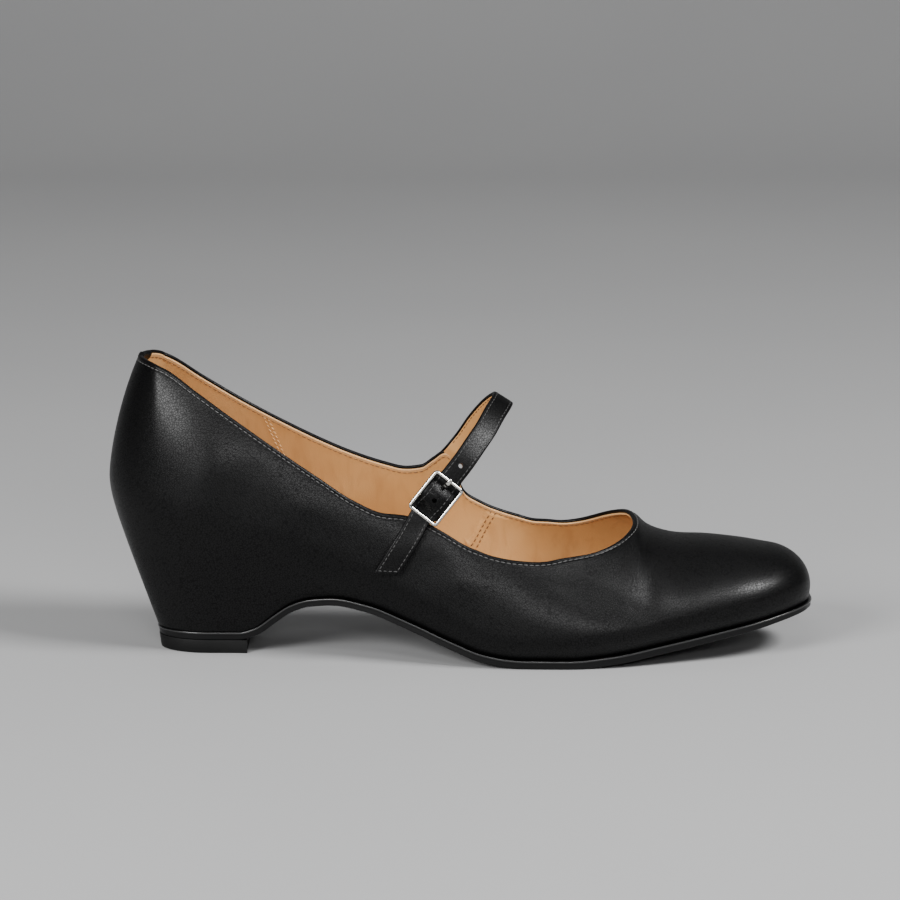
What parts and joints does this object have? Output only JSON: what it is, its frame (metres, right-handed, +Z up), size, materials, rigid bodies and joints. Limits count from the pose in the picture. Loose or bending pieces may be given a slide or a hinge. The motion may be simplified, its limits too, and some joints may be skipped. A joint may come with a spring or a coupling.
{
  "type": "mary jane pump",
  "caption": "Right-foot mary jane pump with a covered wedge heel, thin sole strip, open throat and a buckled strap over the instep, standing empty on heel and ball.",
  "frame": {"origin": "on the floor, under the middle of the shoe's outline seen from above", "axes": "+X runs from the heel to the toe, +Y toward the inner side of the foot, -Y toward the outer side where the buckle is, +Z up"},
  "size_m": [0.2464, 0.0772, 0.1044],
  "materials": {
    "upper_leather": "black leather with a fine pebbled grain and a soft satin gloss",
    "lining_leather": "smooth tan lining leather",
    "heel_block": "moulded wedge block, hidden inside the covering leather",
    "sole_rubber": "black, smooth and slightly glossy",
    "buckle_metal": "polished silver-coloured metal"
  },
  "bodies": {
    "root": {"upper": "upper_leather", "heel": "heel_block", "outsole": "sole_rubber", "top_piece": "sole_rubber", "insole": "lining_leather", "strap": "upper_leather", "buckle_frame": "buckle_metal", "buckle_prong": "buckle_metal", "buckle_tab": "upper_leather"}
  },
  "joints": []
}
